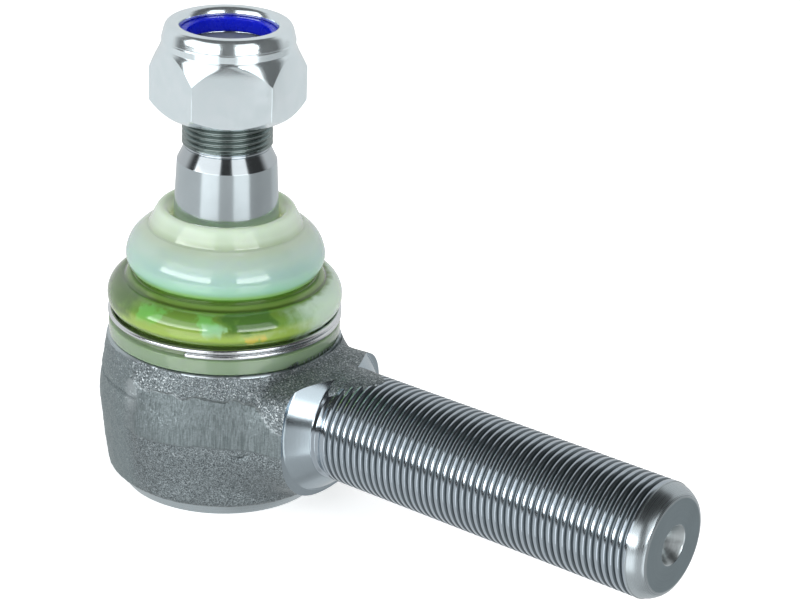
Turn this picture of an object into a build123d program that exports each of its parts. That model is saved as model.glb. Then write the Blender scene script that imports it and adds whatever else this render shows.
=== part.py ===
from build123d import *

import os
from math import radians, sqrt, tan

# Tie rod end: a ball joint whose housing is forged in one piece with its threaded shank.
# Millimetres. The origin is the centre of the ball. +X runs along the shank and +Z up the stud.

os.makedirs("parts", exist_ok=True)

# ---- driving dimensions ---------------------------------------------------
# shank, M30 x 2, as a plain cylinder of the thread's major diameter
shank_thread_r = 15.0
shank_thread_start = 46.8
shank_thread_end = 139.0
shank_end = 143.0
shank_end_r = 12.0              # flat of the end face
shank_end_round = 1.6           # last, steeper part of the end's rounded edge
relief_r = 14.4                 # plain relief between the shoulder and the thread
relief_slope = 0.6              # length of the slope from the relief up to the thread
shank_root = 20.0               # the turned shank starts this far out, inside the neck
centre_hole_r = 5.6             # 60 degree centre hole left by machining
centre_pilot_r = 2.5
centre_pilot_depth = 17.0
centre_pilot_tip = 1.4

# shoulder turned into the forged neck
shoulder_x = 36.2
shoulder_r = 21.4
shoulder_middle = (40.6, 18.0)
shoulder_end = 43.2
shoulder_end_r = 15.2
cutter_r = 30.0                 # outside everything on the neck

# forged neck: each section's X, half width, half height and height of its middle
neck_sections = (
    (12.0, 30.0, 17.6, -4.4),
    (28.0, 22.8, 17.8, -2.6),
    (42.5, 19.2, 17.9, -3.0),
)
neck_end = neck_sections[-1][0]

# forged body
body_r = 33.3                   # widest, just below the ball centre
body_widest_z = -2.0
body_end_r = 31.2               # at the top, and where the bottom is rounded off
body_top = 14.6
body_edge = 0.9                 # height of the chamfer around the top
base = -27.5
base_r = 26.8
ring_top = -24.2                # turned ring that is rolled over the end cover
ring_r = 28.8
round_low = (29.9, -23.7)       # rounded lower edge of the forging
round_high_z = -21.5
mouth_top = 22.4                # upstand inside the boot's collar
upstand_r = 28.3
boot_seat_r = 31.4
bead_r = 0.9                    # of the groove that holds the boot's bead

# inside of the housing
mouth_r = 24.0
throat_z = 9.8                  # narrowest place, it keeps the ball in
throat_r = 17.8
seat_top = 5.0
bore_r = 24.5
cover_ledge = -23.8             # the cover sits against this ledge
cover_bore_r = 25.4
lip_in_r = 23.4                 # inner edge of the rolled rim
rim_thickness = 1.5

# ball stud, 1:10 taper and M24 x 1.5, as a plain cylinder of the thread's major diameter
ball_r = 19.0
ball_flat_z = -15.6
neck_r = 10.8
neck_length = 7.0
stud_collar_r = 14.0
stud_collar_z = 43.0
stud_collar_step = 0.3
taper_start = 47.0
taper_end = 63.1
taper_end_r = 13.14
taper_slope = 0.05              # radius lost for each millimetre, which is 1:10 on the diameter
undercut_r = 11.0
undercut_z = 66.8
stud_thread_r = 11.9
stud_thread_start = 68.2
stud_thread_slope = 0.9
stud_end = 93.8
stud_end_chamfer = 1.5

# bearing shells and what preloads them
ball_gap = 0.05                 # running clearance around the ball
shell_r = 24.4
shell_split = 0.5               # half of the gap between the two shells
shell_seat_r = 19.0             # the upper shell's top, under the throat
shell_seat_z = 4.9
shell_edge = 2.0
upper_shell_top = 8.9
lower_shell_bottom = -17.6
grease_hole_r = 8.0             # below the ball, through the shell and the plate
plate_r = 22.0
plate_thickness = 1.2
spring_in_r = 9.0
spring_out_r = 21.0
spring_thickness = 1.6
cover_r = 25.3
cover_thickness = 2.2
cover_dish = 0.9                # how far the cover's middle is pressed inwards
cover_dish_r = 19.0
cover_rim_r = 21.5
seal_section = 1.1
seal_z = cover_ledge - 1.0
seal_play = 0.04

# boot
wall = 2.3
boot_inner_r = 28.55            # just outside the housing's upstand
boot_collar_bottom = 14.8
boot_collar_r = 31.0
groove_z = 20.7                 # seat of the clamp ring
groove_r = 29.7
lower_lobe = (31.2, 25.7)
lower_lobe_top = (28.9, 30.1)
waist = (24.4, 31.8)
upper_lobe = (26.4, 36.9)
upper_lobe_top = (24.5, 41.7)
lip_skirt = (20.4, 45.0)
lip_crest = (17.4, 50.0)
lip_bore_r = 14.3
lip_bore_top = 48.6
lip_ring_r = 15.55              # steel ring moulded into the lip
lip_ring_z = 46.3
lip_ring_width = 1.8
lip_ring_height = 1.9
lip_slot_r = 16.6
lip_slot = (45.2, 47.4)
lip_foot = (17.4, 42.6)

# clamp ring of the boot's collar
ring_wire_r = 0.70
ring_pitch = 1.50
ring_turns = 1.5
ring_start_angle = -68
ring_gap = 0.05

# lock nut and its insert
nut_flats = 35.4                # across the flats, 36 mm less tolerance and plating
nut_angle = -16.3
nut_bottom = 76.4
nut_top = 100.1
nut_face_r = 16.9
nut_chamfer = 2.8
nut_bore_r = 12.05              # plain bore that stands for the thread
nut_bore_chamfer = 1.2
nut_corner_r = 0.9
nut_crown_z = 88.2              # the crown's cone starts here at the corners
nut_crown_r = 17.9
nut_collar_r = 17.2
nut_collar_z = 94.2
nut_curl_z = 97.2               # the collar is rolled inwards from here
nut_curl = 2.4
nut_rim_r = 13.0
nut_rim_depth = 1.5
insert_r = 15.4
insert_bore_r = 10.85
insert_bottom = 93.9
insert_top = 98.0
insert_play = 0.1


def write(part, name):
    """Label one finished piece and write it as its own file."""
    part.label = name
    export_step(part, f"parts/{name}.step")


def height_on_ball(radius, sphere=ball_r):
    """Height above the ball centre where a sphere has this radius, or the radius at this height."""
    return sqrt(sphere**2 - radius**2)


# ---- housing --------------------------------------------------------------
with BuildPart() as housing:
    # barrel-shaped forged body with its turned base ring and upstand
    round_high = (body_end_r, round_high_z)
    body_shoulder = (body_end_r, body_top - body_edge)
    with BuildSketch(Plane.XZ):
        with BuildLine():
            Polyline((0, base), (base_r, base), (ring_r, ring_top), round_low, round_high)
            ThreePointArc(round_high, (body_r, body_widest_z), body_shoulder)
            Polyline(body_shoulder, (body_end_r - body_edge, body_top), (upstand_r, body_top),
                     (upstand_r, mouth_top), (0, mouth_top), (0, base))
        make_face()
    revolve(axis=Axis.Z)
    # forged neck: it narrows from the body towards the shoulder
    for x, half_width, half_height, middle_z in neck_sections:
        with BuildSketch(Plane.YZ.offset(x)):
            with Locations((0, middle_z)):
                Ellipse(half_width, half_height)
    loft()
    # the shoulder is turned into the neck, and so is the seat of the boot's collar
    with BuildSketch(Plane.XZ):
        with BuildLine():
            Line((shoulder_x, cutter_r), (shoulder_x, shoulder_r))
            ThreePointArc((shoulder_x, shoulder_r), shoulder_middle, (shoulder_end, shoulder_end_r))
            Polyline((shoulder_end, shoulder_end_r), (neck_end + 1, shoulder_end_r),
                     (neck_end + 1, cutter_r), (shoulder_x, cutter_r))
        make_face()
    revolve(axis=Axis.X, mode=Mode.SUBTRACT)
    with BuildSketch(Plane.XZ):
        with BuildLine():
            Polyline((upstand_r, body_top), (boot_seat_r, body_top), (boot_seat_r + 3.0, mouth_top + 3.0),
                     (upstand_r, mouth_top + 3.0), (upstand_r, body_top))
        make_face()
    revolve(axis=Axis.Z, mode=Mode.SUBTRACT)
    # relief, thread and end of the shank
    with BuildSketch(Plane.XZ):
        with BuildLine():
            Polyline((shank_root, 0), (shank_root, shoulder_end_r - 1.0),
                     (shoulder_end - 0.4, shoulder_end_r - 0.1), (shoulder_end + 0.8, relief_r),
                     (shank_thread_start - relief_slope, relief_r), (shank_thread_start, shank_thread_r),
                     (shank_thread_end, shank_thread_r), (shank_thread_end + 0.5, shank_thread_r - 0.5),
                     (shank_end - shank_end_round, shank_end_r + shank_end_round),
                     (shank_end, shank_end_r), (shank_end, 0), (shank_root, 0))
        make_face()
    revolve(axis=Axis.X)
    # centre hole in the end of the shank
    centre_cone = (centre_hole_r - centre_pilot_r) / tan(radians(30))
    pilot_end = shank_end - centre_pilot_depth
    with BuildSketch(Plane.XZ):
        with BuildLine():
            Polyline((shank_end, 0), (shank_end, centre_hole_r), (shank_end - centre_cone, centre_pilot_r),
                     (pilot_end, centre_pilot_r), (pilot_end - centre_pilot_tip, 0), (shank_end, 0))
        make_face()
    revolve(axis=Axis.X, mode=Mode.SUBTRACT)
    # cavity: the mouth, the throat, the seat of the shells, the cover's bore and the rolled rim
    with BuildSketch(Plane.XZ):
        with BuildLine():
            Polyline((0, base), (lip_in_r, base), (lip_in_r, base + rim_thickness),
                     (cover_bore_r, base + rim_thickness), (cover_bore_r, cover_ledge), (bore_r, cover_ledge),
                     (bore_r, seat_top), (throat_r, throat_z), (mouth_r, mouth_top), (0, mouth_top),
                     (0, base))
        make_face()
    revolve(axis=Axis.Z, mode=Mode.SUBTRACT)
    # groove in the upstand that holds the boot's bead
    with BuildSketch(Plane.XZ):
        with Locations((upstand_r, groove_z)):
            Circle(bead_r)
    revolve(axis=Axis.Z, mode=Mode.SUBTRACT)
write(housing.part, "housing")

# ---- ball stud ------------------------------------------------------------
with BuildPart() as ball_stud:
    flat_r = height_on_ball(ball_flat_z)
    neck_z = height_on_ball(neck_r)
    taper_start_r = taper_end_r + taper_slope * (taper_end - taper_start)
    with BuildSketch(Plane.XZ):
        with BuildLine():
            Polyline((0, stud_end), (0, ball_flat_z), (flat_r, ball_flat_z))
            ThreePointArc((flat_r, ball_flat_z), (ball_r, 0), (neck_r, neck_z))
            Polyline((neck_r, neck_z), (neck_r, neck_z + neck_length), (stud_collar_r, stud_collar_z),
                     (stud_collar_r, taper_start - stud_collar_step), (taper_start_r, taper_start),
                     (taper_end_r, taper_end), (undercut_r, undercut_z),
                     (undercut_r, stud_thread_start - stud_thread_slope), (stud_thread_r, stud_thread_start),
                     (stud_thread_r, stud_end - stud_end_chamfer),
                     (stud_thread_r - stud_end_chamfer, stud_end), (0, stud_end))
        make_face()
    revolve(axis=Axis.Z)
write(ball_stud.part, "ball_stud")

# ---- bearing shells -------------------------------------------------------
cup_r = ball_r + ball_gap
split_r = height_on_ball(shell_split, cup_r)
with BuildPart() as upper_shell:
    top_r = height_on_ball(upper_shell_top, cup_r)
    middle_z = upper_shell_top / 2
    with BuildSketch(Plane.XZ):
        with BuildLine():
            ThreePointArc((split_r, shell_split), (height_on_ball(middle_z, cup_r), middle_z),
                          (top_r, upper_shell_top))
            Polyline((top_r, upper_shell_top), (shell_seat_r, upper_shell_top), (shell_r, shell_seat_z),
                     (shell_r, shell_split), (split_r, shell_split))
        make_face()
    revolve(axis=Axis.Z)
write(upper_shell.part, "upper_bearing_shell")

with BuildPart() as lower_shell:
    # the cup follows the ball down to the hole, so that the ball's flat clears it at any tilt
    cup_bottom = -height_on_ball(grease_hole_r, cup_r)
    middle_z = cup_bottom / 2
    with BuildSketch(Plane.XZ):
        with BuildLine():
            ThreePointArc((grease_hole_r, cup_bottom), (height_on_ball(middle_z, cup_r), middle_z),
                          (split_r, -shell_split))
            Polyline((split_r, -shell_split), (shell_r, -shell_split),
                     (shell_r, lower_shell_bottom + shell_edge), (shell_r - shell_edge, lower_shell_bottom),
                     (grease_hole_r, lower_shell_bottom), (grease_hole_r, cup_bottom))
        make_face()
    revolve(axis=Axis.Z)
write(lower_shell.part, "lower_bearing_shell")

# ---- preload stack and end cover ------------------------------------------
plate_bottom = lower_shell_bottom - plate_thickness
with BuildPart() as pressure_plate:
    with BuildSketch(Plane.XY.offset(plate_bottom)):
        Circle(plate_r)
        Circle(grease_hole_r, mode=Mode.SUBTRACT)
    extrude(amount=plate_thickness)
write(pressure_plate.part, "pressure_plate")

with BuildPart() as preload_spring:
    # coned disc spring: its outer edge stands on the cover, its inner edge pushes the plate up
    with BuildSketch(Plane.XZ):
        with BuildLine():
            Polyline((spring_in_r, plate_bottom), (spring_out_r, cover_ledge + spring_thickness),
                     (spring_out_r, cover_ledge), (spring_in_r, plate_bottom - spring_thickness),
                     (spring_in_r, plate_bottom))
        make_face()
    revolve(axis=Axis.Z)
write(preload_spring.part, "preload_spring")

with BuildPart() as end_cover:
    rim_z = base + rim_thickness
    dish_z = cover_ledge - cover_thickness + cover_dish
    with BuildSketch(Plane.XZ):
        with BuildLine():
            Polyline((0, cover_ledge), (cover_r, cover_ledge), (cover_r, rim_z), (cover_rim_r, rim_z),
                     (cover_dish_r, dish_z), (0, dish_z), (0, cover_ledge))
        make_face()
    revolve(axis=Axis.Z)
    # groove for the seal around the cover's edge
    with BuildSketch(Plane.XZ):
        with Locations((cover_r, seal_z)):
            Rectangle(2 * seal_section, seal_section)
    revolve(axis=Axis.Z, mode=Mode.SUBTRACT)
write(end_cover.part, "end_cover")

with BuildPart() as cover_seal:
    with BuildSketch(Plane.XZ):
        with Locations((cover_bore_r - seal_play / 2 - seal_section / 2, seal_z)):
            RectangleRounded(seal_section, seal_section - seal_play, 0.35)
    revolve(axis=Axis.Z)
write(cover_seal.part, "cover_seal")

# ---- boot and its rings ---------------------------------------------------
with BuildPart() as boot:
    groove_half = ring_turns * ring_pitch / 2 + ring_wire_r + 2 * ring_gap
    groove_bottom = groove_z - groove_half
    groove_top = groove_z + groove_half
    skirt_foot = (lip_skirt[0] - 0.7, lip_skirt[1] - 0.3)
    inner_waist = (waist[0] - wall - 0.2, waist[1])
    with BuildSketch(Plane.XZ):
        with BuildLine():
            # outside, from the collar up over both lobes to the crest of the lip
            Polyline((boot_inner_r, boot_collar_bottom), (boot_collar_r, boot_collar_bottom),
                     (boot_collar_r, groove_bottom - 0.5), (groove_r, groove_bottom), (groove_r, groove_top))
            Spline((groove_r, groove_top), lower_lobe, lower_lobe_top, waist,
                   tangents=((0.7, 0.7), (-1, -0.1)))
            Spline(waist, upper_lobe, upper_lobe_top, skirt_foot, tangents=((0.6, 0.8), (-0.8, 0.6)))
            Polyline(skirt_foot, lip_skirt, lip_crest, (lip_crest[0] - 1.0, lip_crest[1] + 0.1),
                     (lip_bore_r, lip_bore_top), (lip_bore_r, lip_slot[1]), (lip_slot_r, lip_slot[1]),
                     (lip_slot_r, lip_slot[0]), (lip_bore_r, lip_slot[0]), (lip_bore_r, lip_foot[1] + 1.0),
                     lip_foot)
            # inside, back down
            Spline(lip_foot, (upper_lobe[0] - wall, upper_lobe[1] - 0.3), inner_waist,
                   tangents=((1, -0.3), (-0.5, -1)))
            Spline(inner_waist, (lower_lobe[0] - wall, lower_lobe[1]), (boot_inner_r, mouth_top + 0.4),
                   tangents=((0.6, -1), (0, -1)))
            Line((boot_inner_r, mouth_top + 0.4), (boot_inner_r, boot_collar_bottom))
        make_face()
    revolve(axis=Axis.Z)
write(boot.part, "boot")

with BuildPart() as boot_lip_ring:
    # pressed steel ring that stiffens the lip, seen only when the boot is cut open
    with BuildSketch(Plane.XZ):
        with Locations((lip_ring_r, lip_ring_z)):
            RectangleRounded(lip_ring_width, lip_ring_height, 0.4)
    revolve(axis=Axis.Z)
write(boot_lip_ring.part, "boot_lip_ring")

with BuildPart() as boot_clamp_ring:
    # spring wire wound about one and a half turns, with its lower end at the front left
    ring_height = ring_turns * ring_pitch
    start = Vector(1, 0, 0).rotate(Axis.Z, ring_start_angle)
    with BuildLine(Plane((0, 0, groove_z - ring_height / 2), x_dir=start)) as wire:
        Helix(pitch=ring_pitch, height=ring_height, radius=groove_r + ring_wire_r + ring_gap)
    with BuildSketch(wire.line ^ 0):
        Circle(ring_wire_r)
    sweep(path=wire.line, is_frenet=True)
write(boot_clamp_ring.part, "boot_clamp_ring")

# ---- lock nut and its insert ----------------------------------------------
with BuildPart() as lock_nut:
    corner_r = nut_flats / sqrt(3)
    curl_r = nut_collar_r - nut_curl
    rim_z = nut_top - nut_rim_depth
    # hexagon with its corners broken, turned as the nut was left when it was run on
    with BuildSketch(Plane.XY.offset(nut_bottom)):
        hexagon = RegularPolygon(corner_r, 6, rotation=nut_angle)
        fillet(hexagon.vertices(), nut_corner_r)
    extrude(amount=nut_top - nut_bottom)
    # crown, chamfers and rolled collar, turned about the axis
    with BuildSketch(Plane.XZ):
        with BuildLine():
            Polyline((0, nut_bottom), (nut_face_r, nut_bottom), (corner_r, nut_bottom + nut_chamfer),
                     (corner_r, nut_crown_z), (nut_crown_r, nut_collar_z - 1.0),
                     (nut_crown_r - 0.3, nut_collar_z), (nut_collar_r, nut_collar_z + 0.3),
                     (nut_collar_r, nut_curl_z))
            RadiusArc((nut_collar_r, nut_curl_z), (curl_r, nut_top), -2.6)
            Polyline((curl_r, nut_top), (nut_rim_r + 0.9, nut_top - 0.1), (nut_rim_r, rim_z),
                     (0, rim_z), (0, nut_bottom))
        make_face()
    revolve(axis=Axis.Z, mode=Mode.INTERSECT)
    # bore, insert groove and rim opening
    with BuildSketch(Plane.XZ):
        with BuildLine():
            Polyline((0, nut_bottom), (nut_bore_r + nut_bore_chamfer, nut_bottom),
                     (nut_bore_r, nut_bottom + nut_bore_chamfer), (nut_bore_r, insert_bottom),
                     (insert_r, insert_bottom), (insert_r, insert_top), (nut_rim_r, insert_top),
                     (nut_rim_r, nut_top), (0, nut_top), (0, nut_bottom))
        make_face()
    revolve(axis=Axis.Z, mode=Mode.SUBTRACT)
write(lock_nut.part, "lock_nut")

with BuildPart() as nylon_insert:
    # locking ring held in the nut's collar
    seat_r = insert_r - 3 * insert_play
    bottom = insert_bottom + insert_play
    top = insert_top - insert_play
    with BuildSketch(Plane.XZ):
        with BuildLine():
            Polyline((insert_bore_r, bottom), (seat_r, bottom), (seat_r, top), (insert_bore_r + 0.6, top),
                     (insert_bore_r, top - 0.4), (insert_bore_r, bottom))
        make_face()
    revolve(axis=Axis.Z)
write(nylon_insert.part, "nylon_insert")
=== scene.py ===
"""Looks of a tie rod end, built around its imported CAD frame.

Profiles and sizes are in millimetres, in the frame of the CAD model: the origin is the centre of the
ball, +X runs along the shank and +Z up the stud. Meshes are scaled to metres as they are made.
"""

from itertools import product
from math import cos, pi, radians, sin, sqrt, tan

import bmesh
import bpy
import numpy as np
from mathutils import Matrix, Vector


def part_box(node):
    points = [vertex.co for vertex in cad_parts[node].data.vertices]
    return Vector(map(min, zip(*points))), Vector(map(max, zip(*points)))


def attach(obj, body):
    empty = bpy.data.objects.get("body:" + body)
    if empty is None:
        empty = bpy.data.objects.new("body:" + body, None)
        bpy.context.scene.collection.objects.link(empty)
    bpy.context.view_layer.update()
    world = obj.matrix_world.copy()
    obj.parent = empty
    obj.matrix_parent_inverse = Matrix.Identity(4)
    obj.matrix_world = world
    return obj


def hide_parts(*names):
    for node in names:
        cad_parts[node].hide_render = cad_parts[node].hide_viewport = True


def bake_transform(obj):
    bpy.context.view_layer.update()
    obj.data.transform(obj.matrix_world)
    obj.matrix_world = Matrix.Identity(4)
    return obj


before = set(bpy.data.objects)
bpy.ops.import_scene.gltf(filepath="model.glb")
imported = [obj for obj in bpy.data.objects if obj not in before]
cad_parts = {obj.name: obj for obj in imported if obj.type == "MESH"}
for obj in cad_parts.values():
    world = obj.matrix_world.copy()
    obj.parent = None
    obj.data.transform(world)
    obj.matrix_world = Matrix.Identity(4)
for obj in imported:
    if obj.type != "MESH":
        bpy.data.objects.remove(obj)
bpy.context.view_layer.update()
MM = 0.001


def low(node):
    """Lowest corner of a CAD node, in millimetres."""
    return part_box(node)[0] / MM


def high(node):
    """Highest corner of a CAD node, in millimetres."""
    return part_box(node)[1] / MM


# ---- driving dimensions ----
base_z = low("housing").z
raw_bottom, raw_top, raw_end = -24.6, 20.0, 42.9  # the forging before it is turned
mouth_top = high("housing").z
shank_end = high("housing").x
body_top = 14.6
body_bottom = -24.2
base_r = 26.8
ring_r = 28.8
upstand_r = 28.3
sleeve_r = 27.6  # inner face of the forging, around the turned sleeve
boot_seat_r = 31.4
shoulder_x = 37.6
shoulder_r = 19.5
shoulder_end = 42.2
shoulder_end_r = 15.1
relief_r = 14.4
centre_hole_r = 5.0
shank_r = 15.0
shank_pitch = 2.0
shank_thread_start = 45.0
shank_thread_end = 139.0
stud_end = high("ball_stud").z
stud_r = 11.9
stud_pitch = 1.5
ball_r = high("ball_stud").x
neck_r = 10.8
taper_start = 47.0
taper_end = 63.1
taper_end_r = 13.14
taper_slope = 0.05
undercut_r = 11.05
undercut_z = 66.8
nut_bottom = low("lock_nut").z
nut_top = high("lock_nut").z
nut_flats = 35.4
nut_angle = -16.3
waist_r = 24.3  # crease between the boot's two lobes
inner_waist_r = 23.4
waist_z = 31.9
wire_r = 0.70
wire_pitch = 1.50
wire_turns = 1.5
wire_start = -68  # degrees round, where the wire's lower end lies
# thread outlines: place along the pitch, and share of the full depth
stud_form = ((0.0, 0.0), (0.07, 0.0), (0.40, 0.90), (0.46, 1.0), (0.54, 1.0), (0.60, 0.90), (0.93, 0.0))
stud_depth = 0.85
shank_form = ((0.0, 0.0), (0.20, 0.0), (0.24, 0.06), (0.42, 1.0), (0.58, 1.0), (0.76, 0.06), (0.80, 0.0))
shank_depth = 0.72


# ---- mesh helpers ----
def lattice_noise(points, cell, seed):
    """Smooth seeded noise from -1 to 1 at each point, with features about one cell wide."""
    scaled = points / cell
    corner = np.floor(scaled).astype(np.int64)
    part = scaled - corner
    part = part * part * part * (part * (part * 6 - 15) + 10)
    total = np.zeros(len(points))
    # each corner gets its own level, from its whole numbers scrambled by large primes
    for step in product((0, 1), repeat=3):
        x, y, z = (corner + step).T
        key = (x * 73856093) ^ (y * 19349663) ^ (z * 83492791) ^ (seed * 2654435761)
        key = (key ^ (key >> 13)) * 1274126177 & 0x7FFFFFFF
        key = (key ^ (key >> 16)) * 668265263 & 0x7FFFFFFF
        weight = np.prod(np.where(step, part, 1 - part), axis=1)
        total += weight * (key / 0x3FFFFFFF - 1)
    return total


def smoothstep(value, start, end):
    """0 before start and 1 after end, with a smooth rise between."""
    share = np.clip((value - start) / (end - start), 0, 1)
    return share * share * (3 - 2 * share)


def arc(start, through, end, steps):
    """Points of the arc through three points, both ends included."""
    a, b, c = (complex(*p) for p in (start, through, end))
    w = (c - a) / (b - a)
    centre = (b - a) * (w - abs(w) ** 2) / (2j * w.imag) + a
    turn_b = np.angle((b - centre) / (a - centre))
    turn = np.angle((c - centre) / (a - centre))
    if turn_b * turn < 0 or abs(turn_b) > abs(turn):
        turn -= 2 * pi * np.sign(turn)
    found = [centre + (a - centre) * np.exp(1j * turn * i / steps) for i in range(steps + 1)]
    return [(p.real, p.imag) for p in found]


def at(t, start, end, a, b):
    """Between a at start and b at end, in a straight line."""
    return (end - t) / (end - start) * a + (t - start) / (end - start) * b


def spline(points, steps):
    """Points of a smooth curve through all of the points."""
    known = np.array(points, float)
    ends = np.vstack([2 * known[0] - known[1], known, 2 * known[-1] - known[-2]])
    knots = np.concatenate([[0], np.cumsum(np.linalg.norm(np.diff(ends, axis=0), axis=1) ** 0.5)])
    found = []
    for i in range(1, len(ends) - 2):
        t0, t1, t2, t3 = knots[i - 1:i + 3]
        p0, p1, p2, p3 = ends[i - 1:i + 3]
        for t in np.linspace(t1, t2, steps, endpoint=False):
            a1, a2, a3 = at(t, t0, t1, p0, p1), at(t, t1, t2, p1, p2), at(t, t2, t3, p2, p3)
            found.append(at(t, t1, t2, at(t, t0, t2, a1, a2), at(t, t1, t3, a2, a3)))
    return [tuple(p) for p in found] + [tuple(known[-1])]


def softened(points, radius=0.25, steps=3):
    """An outline with each of its corners rounded, as an edge is after turning."""
    found = [points[0]]
    for before, corner, after in zip(points, points[1:], points[2:]):
        here, back, on = (np.array(p, float) for p in (corner, before, after))
        to_back, to_on = back - here, on - here
        back_span, on_span = np.linalg.norm(to_back), np.linalg.norm(to_on)
        to_back /= back_span
        to_on /= on_span
        turn = pi - np.arccos(np.clip(to_back @ to_on, -1, 1))
        if turn < radians(12):  # part of a curve already
            found.append(corner)
            continue
        cut = min(radius * tan(turn / 2), 0.45 * min(back_span, on_span))
        start, end = here + to_back * cut, here + to_on * cut
        for i in range(steps + 1):
            t = i / steps
            found.append(tuple((1 - t) ** 2 * start + 2 * t * (1 - t) * here + t * t * end))
    return found + [points[-1]]


def finish_mesh(name, verts, faces, sharp=35.0):
    """A mesh object of millimetre points, smooth except at edges sharper than this angle."""
    mesh = bpy.data.meshes.new(name)
    mesh.from_pydata((np.asarray(verts, float) * MM).tolist(), [], faces)
    made = bmesh.new()
    made.from_mesh(mesh)
    bmesh.ops.remove_doubles(made, verts=made.verts, dist=2e-7)
    bmesh.ops.dissolve_degenerate(made, edges=made.edges, dist=1e-7)
    bmesh.ops.recalc_face_normals(made, faces=made.faces)
    made.to_mesh(mesh)
    made.free()
    mesh.shade_smooth()
    mesh.set_sharp_from_angle(angle=radians(sharp))
    thing = bpy.data.objects.new(name, mesh)
    bpy.context.scene.collection.objects.link(thing)
    return thing


def grid_faces(rows, columns, wrap=True, closed=False):
    """Quads of a grid of points. wrap joins its last column to its first, closed its last row."""
    across = columns if wrap else columns - 1
    down = rows if closed else rows - 1
    return [
        (i * columns + j, i * columns + (j + 1) % columns,
         (i + 1) % rows * columns + (j + 1) % columns, (i + 1) % rows * columns + j)
        for i in range(down) for j in range(across)
    ]


def capped_faces(rows, columns):
    """Faces of a grid that wraps round, with a face over its first row and one over its last."""
    first, last = range(columns), range((rows - 1) * columns, rows * columns)
    return grid_faces(rows, columns) + [tuple(first)[::-1], tuple(last)]


def wear(thing, *materials):
    """Gives a piece its materials, in the order of their indices."""
    for material in materials:
        thing.data.materials.append(material)


def place_on_axis(along, across, axis):
    """Points from their places along an axis and their two places across it."""
    return np.stack([*across, along] if axis == "Z" else [along, *across], -1)


def turned(profile, axis="Z", segments=192, closed=True):
    """Points and faces of a profile of (radius, height) turned about an axis."""
    angles = np.arange(segments) * 2 * pi / segments
    radius, height = np.array(profile, float).T
    across = [radius[:, None] * np.cos(angles), radius[:, None] * np.sin(angles)]
    along = np.repeat(height[:, None], segments, axis=1)
    points = place_on_axis(along, across, axis)
    return points.reshape(-1, 3), grid_faces(len(profile), segments, closed=closed)


def lathe(name, profile, axis="Z", segments=192, closed=True, sharp=35.0):
    """A turned piece. Without closed, the profile starts and ends on the axis."""
    return finish_mesh(name, *turned(profile, axis, segments, closed), sharp)


def threaded(crest_r, pitch, depth, form, start, end, axis, segments=144, lead=(1.0, 1.0)):
    """Points and faces of an external thread. lead gives the lengths over which it runs out."""
    turns = int((end - start) / pitch) + 2
    rows = [(turn + place, share) for turn in range(-1, turns) for place, share in form]
    places, shares = np.array(rows).T
    columns = segments + 1
    angles = np.arange(columns) * 2 * pi / segments
    along = start + pitch * (places[:, None] + angles / (2 * pi))
    shallow = smoothstep(along, start, start + lead[0]) * smoothstep(along, end, end - lead[1])
    radius = crest_r - shares[:, None] * depth * shallow
    points = place_on_axis(along, [radius * np.cos(angles), radius * np.sin(angles)], axis)
    mesh = bpy.data.meshes.new("thread")
    mesh.from_pydata(points.reshape(-1, 3).tolist(), [], grid_faces(len(rows), columns, wrap=False))
    made = bmesh.new()
    made.from_mesh(mesh)
    bmesh.ops.remove_doubles(made, verts=made.verts, dist=1e-4)
    way = Vector((0, 0, 1)) if axis == "Z" else Vector((1, 0, 0))
    for place, side in ((start + 0.01, -1), (end - 0.01, 1)):
        everything = made.verts[:] + made.edges[:] + made.faces[:]
        bmesh.ops.bisect_plane(made, geom=everything, plane_co=way * place, plane_no=way * side,
                               clear_outer=True)
    bmesh.ops.holes_fill(made, edges=[e for e in made.edges if e.is_boundary], sides=0)
    made.verts.ensure_lookup_table()
    made.verts.index_update()
    found = [tuple(v.co) for v in made.verts], [tuple(v.index for v in f.verts) for f in made.faces]
    made.free()
    bpy.data.meshes.remove(mesh)
    return found


def joined(*parts):
    """Several (points, faces) as one."""
    verts, faces = [], []
    for points, quads in parts:
        faces += [tuple(i + len(verts) for i in q) for q in quads]
        verts += [tuple(p) for p in points]
    return verts, faces


def swept(path, radius, sides=16):
    """A round wire along a list of points, with its ends closed."""
    line = np.array(path, float)
    along = np.gradient(line, axis=0)
    along /= np.linalg.norm(along, axis=1)[:, None]
    up = np.cross(along, np.cross([0, 0, 1.0], along))
    up /= np.linalg.norm(up, axis=1)[:, None]
    out = np.cross(up, along)
    angles = np.arange(sides) * 2 * pi / sides
    circle = np.cos(angles)[:, None] * out[:, None] + np.sin(angles)[:, None] * up[:, None]
    rounded = [(0.5, 0.87), (0.87, 0.5)]  # beyond the end, and out from the line
    rings = [line[0] - along[0] * radius * a + circle[0] * radius * b for a, b in reversed(rounded)]
    rings += list(line[:, None] + circle * radius)
    rings += [line[-1] + along[-1] * radius * a + circle[-1] * radius * b for a, b in rounded]
    return np.array(rings).reshape(-1, 3), capped_faces(len(rings), sides)


def vertex_places(mesh):
    """A mesh's vertices, in millimetres."""
    places = np.empty(len(mesh.vertices) * 3)
    mesh.vertices.foreach_get("co", places)
    return places.reshape(-1, 3) / MM


def cut_by(thing, cutter, operation="DIFFERENCE"):
    """Applies a boolean of cutter to thing, and removes cutter."""
    step = thing.modifiers.new("cut", "BOOLEAN")
    step.operation = operation
    step.solver = "MANIFOLD"
    step.object = cutter
    bpy.context.view_layer.update()
    seen = thing.evaluated_get(bpy.context.evaluated_depsgraph_get())
    mesh = bpy.data.meshes.new_from_object(seen)
    thing.modifiers.clear()
    old = thing.data
    thing.data = mesh
    bpy.data.meshes.remove(old)
    bpy.data.objects.remove(cutter)


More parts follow.
